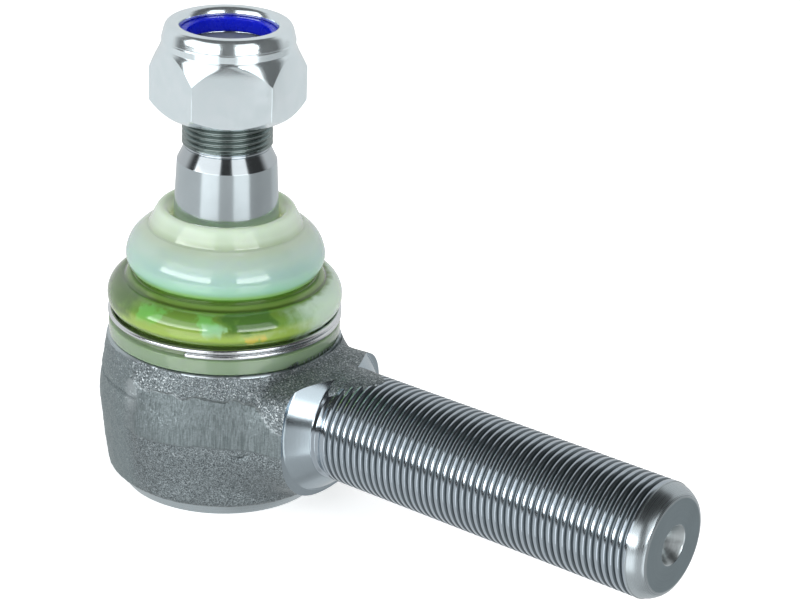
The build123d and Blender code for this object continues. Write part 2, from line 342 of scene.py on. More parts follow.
# ---- material helpers ----
class Nodes:
    """A node tree under construction."""

    def __init__(self, tree):
        self.tree = tree

    def add(self, kind, *values, **settings):
        """A new node, with these settings and values for its first sockets."""
        node = self.tree.nodes.new(kind)
        for key, value in settings.items():
            setattr(node, key, value)
        for socket, value in zip(node.inputs, values):
            self.feed(socket, value)
        return node

    def feed(self, socket, value):
        """Links a socket to an output, or sets it to a plain value."""
        if isinstance(value, bpy.types.NodeSocket):
            self.tree.links.new(value, socket)
        else:
            socket.default_value = value

    def fill(self, node, **values):
        """Links or sets a node's sockets, by their names with _ for spaces."""
        for key, value in values.items():
            self.feed(node.inputs[key.replace("_", " ")], value)

    def math(self, operation, a, b=0.0):
        return self.add("ShaderNodeMath", a, b, operation=operation).outputs[0]

    def plus(self, a, b):
        return self.math("ADD", a, b)

    def minus(self, a, b):
        return self.math("SUBTRACT", a, b)

    def times(self, a, b):
        return self.math("MULTIPLY", a, b)

    def degrees_round(self, aside, ahead):
        """The angle round an axis, in degrees from straight ahead."""
        return self.times(self.math("ARCTAN2", aside, ahead), 180 / pi)

    def split(self, vector):
        return self.add("ShaderNodeSeparateXYZ", vector).outputs

    def spread(self, value, start, end, to_start=0.0, to_end=1.0):
        """A value's range from start to end taken to another range, smoothly and clamped."""
        return self.add("ShaderNodeMapRange", value, start, end, to_start, to_end,
                        interpolation_type="SMOOTHSTEP").outputs[0]

    def band(self, value, start, end, soft):
        """1 between start and end, fading to 0 over soft either side."""
        rise = self.spread(value, start - soft, start + soft)
        fall = self.spread(value, end - soft, end + soft, 1.0, 0.0)
        return self.times(rise, fall)

    def ramp(self, factor, stops, interpolation="EASE"):
        node = self.add("ShaderNodeValToRGB", factor)
        node.color_ramp.interpolation = interpolation
        while len(node.color_ramp.elements) < len(stops):
            node.color_ramp.elements.new(0.5)
        for element, (place, colour) in zip(node.color_ramp.elements, stops):
            element.position = place
            element.color = (*colour, 1.0)
        return node.outputs[0]


class Paint(Nodes):
    """A node material under construction."""

    def __init__(self, name):
        self.material = bpy.data.materials.new(name)
        self.material.use_nodes = True
        super().__init__(self.material.node_tree)
        self.shader = self.tree.nodes["Principled BSDF"]
        self.place = self.add("ShaderNodeTexCoord").outputs["Object"]

    def set(self, **values):
        self.fill(self.shader, **values)

    def vector(self, operation, a, b=(0, 0, 0)):
        node = self.add("ShaderNodeVectorMath", a, b, operation=operation)
        return node.outputs["Value" if operation == "LENGTH" else "Vector"]

    def combine(self, x, y, z):
        return self.add("ShaderNodeCombineXYZ", x, y, z).outputs[0]

    def noise(self, size, detail=2.0, where=None, roughness=0.5):
        """Noise with features about this many millimetres wide."""
        node = self.add("ShaderNodeTexNoise")
        where = self.place if where is None else where
        self.fill(node, Vector=where, Scale=1 / (size * MM), Detail=detail, Roughness=roughness)
        return node.outputs["Fac"]

    def cells(self, size):
        """A random colour in each cell about this many millimetres wide."""
        node = self.add("ShaderNodeTexVoronoi")
        self.fill(node, Vector=self.place, Scale=1 / (size * MM))
        return node.outputs["Color"]

    def mix(self, factor, a, b):
        node = self.add("ShaderNodeMix", factor, data_type="RGBA")
        for socket, colour in zip(node.inputs[6:8], (a, b)):
            self.feed(socket, colour if isinstance(colour, bpy.types.NodeSocket) else (*colour, 1.0))
        return node.outputs[2]

    def bump(self, height, depth):
        """A normal bent by a height from 0 to 1 that stands for this depth in millimetres."""
        node = self.add("ShaderNodeBump")
        self.fill(node, Strength=1.0, Distance=depth * MM, Height=height)
        return node.outputs[0]

    def facets(self, size, tilt, normal):
        """A normal turned a little, at random, in each small cell, as blasted steel sparkles."""
        away = self.vector("SUBTRACT", self.cells(size), (0.5, 0.5, 0.5))
        turned_by = self.vector("MULTIPLY", away, (tilt, tilt, tilt))
        return self.vector("NORMALIZE", self.vector("ADD", normal, turned_by))

    def attribute(self, name):
        return self.add("ShaderNodeAttribute", attribute_name=name).outputs["Fac"]

    def ring_place(self, axis):
        """Coordinates that are the same all the way round an axis: along it, and out from it."""
        x, y, z = self.split(self.place)
        along, other = (z, x) if axis == "Z" else (x, z)
        out = self.vector("LENGTH", self.combine(other, y, 0.0))
        return self.combine(along, out, 0.0)


def turned_steel(name, axis, colour, roughness, grain=0.10, depth=0.004, variation=0.08):
    """Machined steel with fine tool marks round its axis."""
    paint = Paint(name)
    rings = paint.noise(grain, 3.0, paint.ring_place(axis), 0.7)
    cloud = paint.noise(6.0, 2.0)
    dark = tuple(c * (1 - 2 * variation) for c in colour)
    light = tuple(min(1.0, c * (1 + variation)) for c in colour)
    shade = paint.mix(paint.times(rings, cloud), dark, light)
    paint.set(
        Base_Color=shade,
        Metallic=1.0,
        Roughness=paint.spread(rings, 0.2, 0.8, roughness * 0.8, roughness * 1.25),
        Normal=paint.bump(rings, depth),
    )
    return paint.material


def forged_steel():
    """Shot-blasted forging, with the band where the flash was sheared off; a painted highlight runs
    along the band's edges and painted light makes the upper part lighter.
    """
    paint = Paint("forged_steel_skin")
    sheared = paint.attribute("sheared")
    x, y, z = paint.split(paint.place)
    calm = paint.spread(paint.degrees_round(y, x), -92, -104)  # left of the sheared band
    fine = paint.noise(0.32, 3.0, roughness=0.65)
    coarse = paint.noise(2.6, 3.0, roughness=0.6)
    speck = paint.split(paint.cells(0.30))[0]
    grey = paint.ramp(fine, [(0.34, (0.07, 0.085, 0.09)), (0.50, (0.185, 0.215, 0.225)),
                             (0.66, (0.42, 0.47, 0.49))], "LINEAR")
    grey = paint.mix(paint.spread(coarse, 0.35, 0.65, 0.0, 0.30), grey, (0.18, 0.21, 0.22))
    # painted light: more bright specks higher up, so the body's upper part looks lighter
    upper = paint.spread(z, -4 * MM, 6 * MM, 0.25, 0.85)
    grey = paint.mix(paint.times(paint.spread(speck, 0.80, 1.0), upper), grey, (0.62, 0.67, 0.69))
    grey = paint.mix(paint.spread(speck, 0.20, 0.0, 0.0, 0.70), grey, (0.05, 0.06, 0.065))
    grey = paint.mix(paint.times(calm, 0.55), grey, (0.28, 0.335, 0.345))
    drawn_out = paint.combine(x, y, paint.times(z, 0.06))
    scratch = paint.noise(0.35, 3.0, drawn_out, 0.65)
    cut = paint.mix(paint.spread(scratch, 0.3, 0.7), (0.14, 0.17, 0.175), (0.25, 0.29, 0.30))
    # painted highlight: a light line along the sheared band's edges, strongest along its top
    edge = paint.times(sheared, paint.minus(1.0, sheared))
    edge = paint.times(edge, paint.spread(z, 0.0, 4 * MM, 0.6, 2.6))
    rough = paint.bump(paint.mix(sheared, fine, scratch), 0.07)
    paint.set(
        Base_Color=paint.mix(edge, paint.mix(sheared, grey, cut), (0.50, 0.55, 0.57)),
        Metallic=0.85,
        Roughness=paint.spread(speck, 0.0, 1.0, 0.58, 0.36),
        Normal=paint.facets(0.30, 0.36, rough),
    )
    return paint.material


# patches of colour on the boot, some of them painted reflection and painted light
boot_patches = (
    # angle round, half width, from and to climb, share, colour
    (-90, 9, 0.29, 0.38, 0.5, (0.17, 0.52, 0.13)),
    (-60, 9, 0.29, 0.38, 0.5, (0.17, 0.52, 0.13)),
    # painted reflection: a dark patch round the right-hand highlight on the lower lobe
    (-38, 14, 0.29, 0.41, 0.8, (0.05, 0.13, 0.025)),
    (-56, 8, 0.27, 0.33, 0.7, (0.30, 0.52, 0.34)),
    (-130, 34, 0.26, 0.44, 0.9, (0.07, 0.13, 0.035)),
    # painted light: the lower lobe's right side paler, as lit by its surroundings
    (40, 62, 0.20, 0.395, 0.85, (0.53, 0.67, 0.56)),
    (-35, 5, 0.235, 0.265, 0.8, (0.55, 0.40, 0.05)),
)


def boot_rubber():
    """Translucent polyurethane: milky where painted light shows it lit through, deep green with painted
    shade in its folds.
    """
    paint = Paint("boot_polyurethane_skin")
    x, y, _ = paint.split(paint.place)
    climb = paint.attribute("climb")
    colour = paint.ramp(climb, boot_colour_light_and_shade)
    cloud = paint.minus(paint.noise(5.0, 3.0), 0.5)
    turn = paint.plus(paint.degrees_round(y, x), paint.times(cloud, 34.0))
    level = paint.plus(climb, paint.times(cloud, 0.07))
    for middle, half, start, end, share, tint in boot_patches:
        away = paint.math("ABSOLUTE", paint.minus(turn, middle))
        spot = paint.times(paint.spread(away, half, half * 0.55), paint.band(level, start, end, 0.02))
        colour = paint.mix(paint.times(spot, share), colour, tint)
    paint.set(
        Base_Color=colour,
        Roughness=paint.spread(paint.noise(1.2, 2.0), 0.3, 0.7, 0.07, 0.11),
        Subsurface_Weight=0.55,
        Subsurface_Scale=0.004,
        Subsurface_Radius=(0.8, 1.0, 0.5),
        IOR=1.5,
        Coat_Weight=0.75,
        Coat_Roughness=0.05,
        # painted light: the lip's inner edge glows faintly, as if lit through its wall
        Emission_Color=colour,
        Emission_Strength=paint.spread(climb, 0.93, 0.98, 0.0, 0.30),
        Normal=paint.bump(paint.noise(0.8, 2.0), 0.002),
    )
    return paint.material


def zinc():
    """Bright zinc plate over a forged and rolled nut."""
    paint = Paint("zinc_plated_skin")
    cloud = paint.noise(3.5, 3.0)
    pit = paint.noise(0.25, 2.0)
    colour = paint.mix(paint.spread(cloud, 0.3, 0.7), (0.83, 0.92, 0.95), (0.87, 0.95, 0.98))
    paint.set(
        Base_Color=colour,
        Metallic=0.91,
        Roughness=paint.spread(cloud, 0.3, 0.7, 0.13, 0.18),
        Normal=paint.bump(pit, 0.004),
    )
    return paint.material


def clouded(name, cloud, dark, light, roughness, grain, depth, metallic=0.0):
    """A surface of two clouded shades with a fine grain. cloud and grain are sizes and details."""
    paint = Paint(name)
    shade = paint.noise(*cloud)
    paint.set(
        Base_Color=paint.mix(shade, dark, light),
        Metallic=metallic,
        Roughness=paint.spread(shade, 0.3, 0.7, *roughness),
        Normal=paint.bump(paint.noise(*grain), depth),
    )
    return paint.material


def moulded(name, dark, light, roughness):
    """A plain moulded plastic or rubber, or a dull sawn end."""
    return clouded(name, (1.5, 3.0), dark, light, (roughness * 0.9, roughness * 1.1), (0.3, 2.0), 0.01)


# ---- camera, light and floor ----
view_azimuth = 36.415  # 0 looks along +Y
view_elevation = 23.135
view_roll = 2.46
view_distance = 729.87  # along the line of sight, from the middle of the base
view_right = 48.69  # the camera is this far right of the base's middle
view_up = 46.14
lens = 119.7
near_clip = 0.01
floor_reach = 4000.0
floor_drop = 0.02  # so that it doesn't share the base ring's plane


def make_camera():
    turn, rise, roll = (radians(a) for a in (view_azimuth, view_elevation, view_roll))
    look = Vector((-sin(turn) * cos(rise), cos(turn) * cos(rise), -sin(rise)))
    level = Vector((cos(turn), sin(turn), 0))
    above = level.cross(look)
    right = level * cos(roll) + above * sin(roll)
    up = above * cos(roll) - level * sin(roll)
    place = Vector((0, 0, base_z)) - look * view_distance + right * view_right + up * view_up
    camera = bpy.data.objects.new("camera", bpy.data.cameras.new("camera"))
    camera.data.lens = lens
    camera.data.clip_start = near_clip
    facing = Matrix((right, up, -look)).transposed().to_4x4()
    camera.matrix_world = Matrix.Translation(place * MM) @ facing
    bpy.context.scene.collection.objects.link(camera)
    bpy.context.scene.camera = camera


# The studio, as the metal sees it. Angles are in degrees: round from the front, where minus is to the
# left, and up from the horizon.
front_azimuth = -50.0
wall_light = 0.70
ceiling_light = 0.05
table_light = ((-120, 0.70), (-60, 0.70), (0, 0.64), (45, 0.52), (75, 0.44), (110, 0.48), (130, 0.68))
table_edge = (-6, 0)  # the table's light passes into the walls'
ceiling_edge = (36, 42)  # the dark ceiling begins
lit_behind = (-0.25, -0.45)  # how far ahead a direction points where the ceiling is lit, behind
lit_behind_top = (60, 44)
dark_front = (-100, 100, 12)  # dark walls in front: from, to and how softly they end
dark_front_foot = (-8.0, -5.5)
softboxes = (
    # from, to, lowest, highest, strength
    (-78, -16, 5, 42, 5.4),
    (13, 51, 5, 42, 5.2),
    (-58, -16, -45, -9, 1.6),
    (15, 52, -45, -9, 1.5),
)
softbox_side = 1.5
softbox_top = 1.0
softbox_fade = (24, 11, 0.26, 1.0)  # dim above the first angle, full below the second


def room_light(nodes, rise, turn, ahead):
    """Table below the horizon, walls above, dark in front and overhead."""
    stops = [((place + 180) / 360, (level, level, level)) for place, level in table_light]
    table = nodes.ramp(nodes.plus(nodes.math("DIVIDE", turn, 360), 0.5), stops)
    above = nodes.spread(rise, *table_edge)
    light = nodes.plus(nodes.times(above, wall_light), nodes.times(nodes.minus(1.0, above), table))
    behind = nodes.times(nodes.spread(ahead, *lit_behind), nodes.spread(rise, *lit_behind_top))
    overhead = nodes.times(nodes.spread(rise, *ceiling_edge), nodes.minus(1.0, behind))
    front = nodes.times(nodes.band(turn, *dark_front), nodes.spread(rise, *dark_front_foot))
    dark = nodes.math("MAXIMUM", overhead, front)
    return nodes.plus(nodes.times(light, nodes.minus(1.0, dark)), nodes.times(dark, ceiling_light))


def studio_light(nodes):
    """Strength of the light in each direction."""
    x, y, z = nodes.split(nodes.add("ShaderNodeTexCoord").outputs["Generated"])
    rise = nodes.times(nodes.math("ARCSINE", z), 180 / pi)
    front = radians(front_azimuth)
    ahead = nodes.plus(nodes.times(x, cos(front)), nodes.times(y, sin(front)))
    aside = nodes.minus(nodes.times(y, cos(front)), nodes.times(x, sin(front)))
    turn = nodes.degrees_round(aside, ahead)
    light = room_light(nodes, rise, turn, ahead)
    for start, end, lowest, highest, strength in softboxes:
        across = nodes.band(turn, start, end, softbox_side)
        box = nodes.times(across, nodes.band(rise, lowest, highest, softbox_top))
        box = nodes.times(box, nodes.spread(rise, *softbox_fade))
        light = nodes.math("MAXIMUM", light, nodes.times(box, strength))
    return light


def make_world():
    """The studio's light, with plain white where the camera looks past the floor."""
    world = bpy.data.worlds.new("studio")
    bpy.context.scene.world = world
    world.use_nodes = True
    nodes = Nodes(world.node_tree)
    nodes.tree.nodes.clear()
    light = studio_light(nodes)
    seen = nodes.add("ShaderNodeLightPath").outputs["Is Camera Ray"]
    strength = nodes.plus(nodes.times(light, nodes.minus(1.0, seen)), seen)
    lamp = nodes.add("ShaderNodeBackground", (0.97, 0.99, 1.0, 1.0), strength)
    nodes.add("ShaderNodeOutputWorld", lamp.outputs[0])


soft_lights = (
    # name, place and size in metres, power
    ("key", (-0.55, -0.75, 0.85), 0.9, 3.2),
    ("fill", (0.95, -0.35, 0.75), 0.9, 3.2),
    ("top", (0.05, 0.15, 1.25), 1.2, 4.5),
)


def make_lights():
    """Soft lights for the floor and the matt surfaces; metal sees the studio instead."""
    aim = Vector((0.04, 0, 0.02))
    for name, place, size, power in soft_lights:
        light = bpy.data.lights.new(name, "AREA")
        light.size = size
        light.energy = power
        lamp = bpy.data.objects.new(name, light)
        lamp.location = place
        lamp.rotation_mode = "QUATERNION"
        lamp.rotation_quaternion = (aim - lamp.location).to_track_quat("-Z", "Y")
        lamp.visible_glossy = False
        bpy.context.scene.collection.objects.link(lamp)


def make_floor():
    """A pale round floor that metal doesn't mirror."""
    segments = 96
    turns = [2 * pi * i / segments for i in range(segments)]
    rim = [(floor_reach * cos(turn), floor_reach * sin(turn), base_z - floor_drop) for turn in turns]
    floor = finish_mesh("floor", rim, [tuple(range(segments))])
    paint = Paint("floor_paint")
    cloud = paint.noise(400.0, 1.0)
    paint.set(
        Base_Color=paint.mix(cloud, (0.90, 0.90, 0.90), (0.92, 0.92, 0.92)),
        Roughness=0.9,
        Specular_IOR_Level=0.1,
        Emission_Color=(1.0, 1.0, 1.0, 1.0),
        Emission_Strength=0.60,
    )
    wear(floor, paint.material)
    floor.visible_glossy = False


# ---- housing ----
forging_centre = np.array([0.0, 0.0, -4.0])
body_outline = [(28.8, -24.2), (29.9, -23.8), (30.7, -23.0), (31.1, -21.6), (31.4, -19.5), (31.9, -15.0),
                (32.6, -9.5), (33.15, -4.0), (33.1, 0.0), (32.6, 4.9), (31.9, 9.2), (31.3, 12.6),
                (31.0, 14.6), (30.9, 17.0)]
neck_sections = (
    # place along the shank, half width, half height, middle height, how square the upper half is
    (8.0, 31.0, 17.6, -4.6, 2.0),
    (28.0, 22.3, 17.6, -3.4, 3.2),
    (42.5, 19.2, 17.5, -3.0, 5.0),
)
neck_lean = 0.03  # the far side of the neck's top is higher
neck_under = 2.2  # how square the lower half is
neck_blend = 4.0
flash_top, flash_bottom = 8.2, -5.0
flash_drop = 6.4  # the band's top falls by this much towards the neck
parting_z = 4.4
crescent_turn, crescent_z, crescent_r = -43.5, -3.6, 3.7
ridge_start, ridge_reach = 40.0, 13.6


def body_radius(height):
    radii, heights = np.array(spline(body_outline, 6)).T
    return np.interp(height, heights, radii)


def forging_field(points):
    """Below zero inside the raw forging: the barrel-shaped body run into the neck."""
    x, y, z = points.T
    body = np.hypot(x, y) - body_radius(z)
    places, *sizes = np.array(neck_sections).T
    wide, tall, middle, square = (np.interp(x, places, size) for size in sizes)
    middle = middle + neck_lean * y
    square = np.where(z > middle, square, neck_under)
    across = np.abs(y / wide) ** square + np.abs((z - middle) / tall) ** square
    neck = (across ** (1 / square) - 1) * np.minimum(wide, tall)
    neck = np.maximum(neck, -x)
    mixed = np.clip(0.5 + 0.5 * (neck - body) / neck_blend, 0, 1)
    joined_up = neck * (1 - mixed) + body * mixed - neck_blend * mixed * (1 - mixed)
    ends = np.maximum.reduce([z - raw_top, raw_bottom - z, x - raw_end])
    return np.maximum(joined_up, ends)


def flash_band(points):
    """How much each point lies in the band where the flash was sheared off, from 0 to 1."""
    x, y, z = points.T
    around = np.degrees(np.arctan2(y, x))
    side = np.abs(around)
    ring = points * (1, 1, 0)
    wave = lattice_noise(ring, 4.0, 11) * 0.7 + lattice_noise(ring, 1.6, 12) * 0.35
    upper = flash_top + wave - flash_drop * smoothstep(-side, -38, -29)
    lower = flash_bottom + lattice_noise(ring, 6.0, 13) * 0.6
    inside = smoothstep(z, lower - 0.35, lower + 0.35) * smoothstep(-z, -upper - 0.25, -upper + 0.15)
    return inside * smoothstep(side, 24, 30) * smoothstep(-side, -104, -90)


def forging_relief(points):
    """How far the surface stands out from the smooth forging, in millimetres."""
    x, y, z = points.T
    around = np.degrees(np.arctan2(y, x))
    band = flash_band(points)
    rough = 0.22 * lattice_noise(points, 8.0, 1) + 0.10 * lattice_noise(points, 2.6, 2)
    rough += 0.07 * lattice_noise(points, 1.1, 3) + 0.045 * lattice_noise(points, 0.6, 4)
    scratched = points * (1.0, 1.0, 0.09)
    smooth = 0.40 + 0.06 * lattice_noise(scratched, 0.9, 5) + 0.05 * lattice_noise(scratched, 2.4, 6)
    relief = rough * (1 - 0.85 * band) + smooth * band
    # step along the die's parting line, behind the sheared band
    line = parting_z + 0.5 * lattice_noise(points, 7.0, 7)
    behind = smoothstep(np.abs(around), 92, 96)
    relief -= 0.45 * behind * np.exp(-(((z - line) / 0.35) ** 2))
    relief += 0.18 * behind * smoothstep(z, line, line + 0.5)
    # crescent left by the trimming tool
    dx = (around - crescent_turn) * radians(1) * 33.3
    dz = z - crescent_z
    ring = np.hypot(dx, dz) - crescent_r
    groove = 0.60 * np.exp(-((ring / 0.42) ** 2))
    return relief - groove * smoothstep(-dz, 1.6, 3.0) * smoothstep(dx, -3.4, -0.5)


def forging_points(rows, columns):
    """Where rays from inside leave the forging, raised by its relief, and the shape of their grid."""
    lowest, highest = radians(-37), radians(34)
    bottom = np.linspace(radians(-88), lowest, 8, endpoint=False)
    top = np.linspace(radians(88), highest, 8, endpoint=False)[::-1]
    rise = np.concatenate([bottom, np.linspace(lowest, highest, rows), top])
    turn = np.arange(columns) * 2 * pi / columns
    rise, turn = np.meshgrid(rise, turn, indexing="ij")
    level = np.cos(rise)
    ways = np.stack([level * np.cos(turn), level * np.sin(turn), np.sin(rise)], -1).reshape(-1, 3)
    inner, outer = np.full(len(ways), 12.0), np.full(len(ways), 64.0)
    for _ in range(26):  # halve the stretch that holds the surface
        middle = (inner + outer) / 2
        inside = forging_field(forging_centre + ways * middle[:, None]) < 0
        inner = np.where(inside, middle, inner)
        outer = np.where(inside, outer, middle)
    points = forging_centre + ways * outer[:, None]
    flat = np.abs(points[:, 2] - raw_bottom) < 0.02
    out = ways * (1, 1, 0.35)
    out /= np.linalg.norm(out, axis=1)[:, None]
    relief = np.where(flat, 0, forging_relief(points))
    return points + out * relief[:, None], rise.shape


def raw_forging():
    """The forging as it leaves the die, closed at both poles."""
    rows, columns = ((165, 500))
    points, shape = forging_points(rows, columns)
    faces = grid_faces(*shape)
    first, last = len(points), len(points) + 1
    points = np.vstack([points, points[:columns].mean(0), points[-columns:].mean(0)])
    end = (shape[0] - 1) * columns
    faces += [(first, (j + 1) % columns, j) for j in range(columns)]
    faces += [(last, end + j, end + (j + 1) % columns) for j in range(columns)]
    return finish_mesh("housing_forging", points, faces, sharp=180.0)


def forging_cutters():
    """What turning takes off, each with the index of the material it leaves."""
    near, out = shoulder_x - 0.4, boot_seat_r + 0.1
    shoulder = softened([(30.0, near), (shoulder_r + 0.4, near), (shoulder_r, shoulder_x),
                         (shoulder_end_r, shoulder_end), (5.0, shoulder_end)], 0.3, 3)
    clearance = [(out, body_top - 1.1), (boot_seat_r + 6.0, 26), (out, 26)]
    seat = [(20, body_top), (30.3, body_top), (30.7, body_top - 0.1), (31.0, body_top - 0.4),
            (31.15, body_top - 0.8), (out, body_top - 1.1), (out, 26), (20, 26)]
    bore = [(0, -40), (sleeve_r, -40), (sleeve_r, 40), (0, 40)]
    under = [(0, -40), (60, -40), (60, body_bottom), (0, body_bottom)]
    return (
        (0, lathe("clearance", clearance)),
        (1, lathe("bore", bore, closed=False)),
        (1, lathe("under", under, closed=False)),
        (1, lathe("seat", seat)),
        (2, lathe("neck", shoulder + [(5.0, 60), (30, 60)], axis="X", segments=256)),
    )


def make_forging(*surfaces):
    """Forged outside of the housing, in its skin, machined and bright surfaces."""
    forging = raw_forging()
    wear(forging, *surfaces)
    for index, cutter in forging_cutters():
        wear(cutter, *surfaces)
        cutter.data.polygons.foreach_set("material_index", [index] * len(cutter.data.polygons))
        cut_by(forging, cutter)
    mesh = forging.data
    sheared = flash_band(vertex_places(mesh))
    mesh.attributes.new("sheared", "FLOAT", "POINT").data.foreach_set("value", sheared)
    mesh.shade_smooth()
    mesh.set_sharp_from_angle(angle=radians(28))
    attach(forging, "housing")
    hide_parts("housing")


def make_sleeve(machined):
    """Turned inside of the housing, its upstand under the boot and its base ring."""
    profile = softened([
        (27.0, 14.0), (upstand_r, 14.2), (upstand_r, mouth_top), (24.0, mouth_top), (17.8, 9.8),
        (24.5, 5.0), (24.5, -23.8), (25.4, -23.8), (25.4, -26.0), (23.4, -26.1), (23.2, base_z),
        (base_r, base_z), (ring_r, body_bottom), (ring_r - 0.1, body_bottom + 0.3),
        (27.0, body_bottom + 0.6), (27.0, 14.0)], 0.3)
    sleeve = lathe("housing_sleeve", profile[:-1], segments=256)
    wear(sleeve, machined)
    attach(sleeve, "housing")
    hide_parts("housing")


rounded_end = ((shank_r, 4.4), (14.7, 3.4), (14.3, 2.3), (13.6, 1.1), (12.9, 0.3), (12.0, 0))


def shank_surface(face):
    """Index of a shank face's material: 0 turned, 1 end face, 2 flank (darker, as painted shade), 3
    centre hole, 4 rounded end.
    """
    x, out = face.center.x / MM, sqrt(face.center.y**2 + face.center.z**2) / MM
    if x > shank_end - 0.1 and face.normal.x > 0.98:
        return 1
    if out < centre_hole_r + 0.2 and x > shank_end - 18:
        return 3
    if shank_thread_start + 0.5 < x < shank_thread_end - 0.4 and out < shank_r - 0.10:
        return 2
    return 4 if x > shank_end - 4.4 else 0


def make_shank(*surfaces):
    """The turned and threaded shank, with a centre hole in its end."""
    root_r, pilot_r, thread_start = shoulder_end_r - 0.05, 2.5, shank_thread_start
    cone_end = shank_end - (centre_hole_r - pilot_r) / tan(radians(30))
    root = [(0, 30.0)] + softened([
        (13.0, 30.0), (13.0, shoulder_end - 1.6), (root_r, shoulder_end - 1.0),
        (root_r, shoulder_end + 0.2), (relief_r, shoulder_end + 1.0), (relief_r, thread_start - 0.4),
        (shank_r, thread_start + 0.2), (shank_r, thread_start + 0.5)], 0.4, 4)
    root.append((0, thread_start + 0.5))
    rounding = spline([(radius, shank_end - back) for radius, back in rounded_end], 4)
    tip = [(0, shank_thread_end - 0.6), (shank_r, shank_thread_end - 0.6)] + rounding + softened([
        (11.9, shank_end), (centre_hole_r + 0.3, shank_end), (centre_hole_r, shank_end - 0.3),
        (pilot_r, cone_end), (pilot_r, shank_end - 17)], 0.3, 3) + [(0, shank_end - 18.4)]
    thread = threaded(shank_r, shank_pitch, shank_depth, shank_form, thread_start + 0.4,
                      shank_thread_end, "X", lead=(1.2, 1.6))
    parts = joined(turned(root, "X", closed=False), thread, turned(tip, "X", closed=False))
    shank = finish_mesh("housing_shank", *parts, sharp=42.0)
    wear(shank, *surfaces)
    for face in shank.data.polygons:
        face.material_index = shank_surface(face)
    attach(shank, "housing")
    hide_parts("housing")


def make_ridge(skin):
    """Forged skin that the turning tool missed, on top of the relief and of the first threads."""
    steps, columns = 60, 40
    points = []
    for i in range(steps + 1):
        along = ridge_start + ridge_reach * i / steps
        half = radians(44) * max(0.0, 1 - (i / steps) ** 1.6) ** 0.7 + 0.01
        for side in np.linspace(-1, 1, columns):
            edge = 1 - abs(side) ** 5
            points.append((along, side * half, 14.1 + 1.12 * edge))
        points += [(along, half * 0.8, 13.6), (along, -half * 0.8, 13.6)]
    along, turn, out = np.array(points).T
    points = place_on_axis(along, [out * np.sin(turn), out * np.cos(turn)], "X")
    lift = 0.07 * lattice_noise(points, 2.4, 21) + 0.04 * lattice_noise(points, 0.9, 22)
    points[:, 1:] *= (1 + lift / out)[:, None]
    ridge = finish_mesh("housing_ridge", points, capped_faces(steps + 1, columns + 2), sharp=80)
    wear(ridge, skin)
    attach(ridge, "housing")
    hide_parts("housing")


# ---- stud ----
def stud_outline():
    """Ball, neck, taper and undercut of the stud, up to where its thread starts."""
    flat_z = low("ball_stud").z
    flat_r = sqrt(ball_r**2 - flat_z**2)
    neck_z = sqrt(ball_r**2 - neck_r**2)
    taper_start_r = taper_end_r + taper_slope * (taper_end - taper_start)
    ball = arc((flat_r, flat_z + 0.2), (ball_r, 0), (neck_r, neck_z), 40)
    above = softened([
        (neck_r, neck_z), (neck_r, 38.5), (14.0, 43.0), (14.0, taper_start - 0.3),
        (taper_start_r, taper_start), (taper_end_r, taper_end), (undercut_r + 0.3, undercut_z),
        (undercut_r, undercut_z + 0.1), (undercut_r, undercut_z + 0.5),
        (stud_r - 0.02, undercut_z + 1.2)], 0.3, 4)
    return [(0, flat_z), (flat_r - 0.3, flat_z)] + ball + above[1:] + [(0, undercut_z + 1.2)]


def wear_above(thing, height, below, above):
    """Gives a piece one material below a height and another above it."""
    wear(thing, below, above)
    for face in thing.data.polygons:
        if face.center.z > height * MM:
            face.material_index = 1


def make_stud(ground, thread_steel, polished, end_face):
    """The stud's ground part and its rolled thread."""
    shank = lathe("stud_taper", stud_outline(), closed=False, segments=224, sharp=50)
    wear_above(shank, taper_end - 0.1, ground, polished)
    thread = threaded(stud_r, stud_pitch, stud_depth, stud_form, undercut_z + 1.1, stud_end - 1.2, "Z",
                      lead=(1.0, 0.8), segments=128)
    tip = [(0, stud_end - 1.4), (stud_r, stud_end - 1.4)] + softened(
        [(stud_r, stud_end - 1.3), (stud_r - 0.3, stud_end), (0, stud_end)], 0.2)
    screw = finish_mesh("stud_thread", *joined(thread, turned(tip, "Z", closed=False)), sharp=42)
    wear_above(screw, stud_end - 0.1, thread_steel, end_face)
    for piece in (shank, screw):
        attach(piece, "stud")
        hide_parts("ball_stud")


# ---- nut ----
nut_corner_r = nut_flats / sqrt(3)
nut_fillet = 0.15
nut_bevel = 0.08
crown_top = 93.15  # where the hexagon meets the collar
rolled_rim = (
    # radius, depth below the nut's top
    (17.2, 3.6), (17.05, 2.9), (16.85, 2.0), (16.6, 1.2), (16.3, 0.65), (15.9, 0.22), (15.4, 0.05),
    (14.6, 0), (13.8, 0.06), (13.1, 0.35), (12.7, 0.9), (12.5, 1.5), (12.5, 1.95),
)


def hexagon():
    """Six-sided bar with slightly rounded corners, longer than the nut."""
    inset = nut_corner_r - nut_fillet / cos(radians(30))
    corners = []
    for middle in (radians(nut_angle + 60 * side) for side in range(6)):
        for turn in (middle + radians(-30 + 60 * step / 6) for step in range(7)):
            corners.append((inset * cos(middle) + nut_fillet * cos(turn),
                            inset * sin(middle) + nut_fillet * sin(turn)))
    points = [(x, y, z) for z in (nut_bottom - 1, nut_top + 1) for x, y in corners]
    return finish_mesh("lock_nut_body", points, capped_faces(2, len(corners)))


def nut_blank():
    """Turned shape of the nut: washer face, crown, collar, rolled rim and bore."""
    crown = softened([
        (11.6, nut_bottom + 1.4), (13.2, nut_bottom), (16.9, nut_bottom),
        (nut_corner_r, nut_bottom + 2.8), (nut_corner_r, 88.2), (17.9, crown_top), (17.75, 93.7)], 0.25)
    collar = [(17.45, 94.1), (17.3, 94.4), (17.35, 96.1), (17.2, 96.4)]
    rolled = spline([(radius, nut_top - depth) for radius, depth in rolled_rim], 4)
    inside = [(15.3, nut_top - 1.95), (15.3, 93.9), (12.2, 93.9), (12.0, 93.4), (12.0, nut_bottom + 1.6)]
    return lathe("blank", crown + collar + rolled + inside, segments=256)


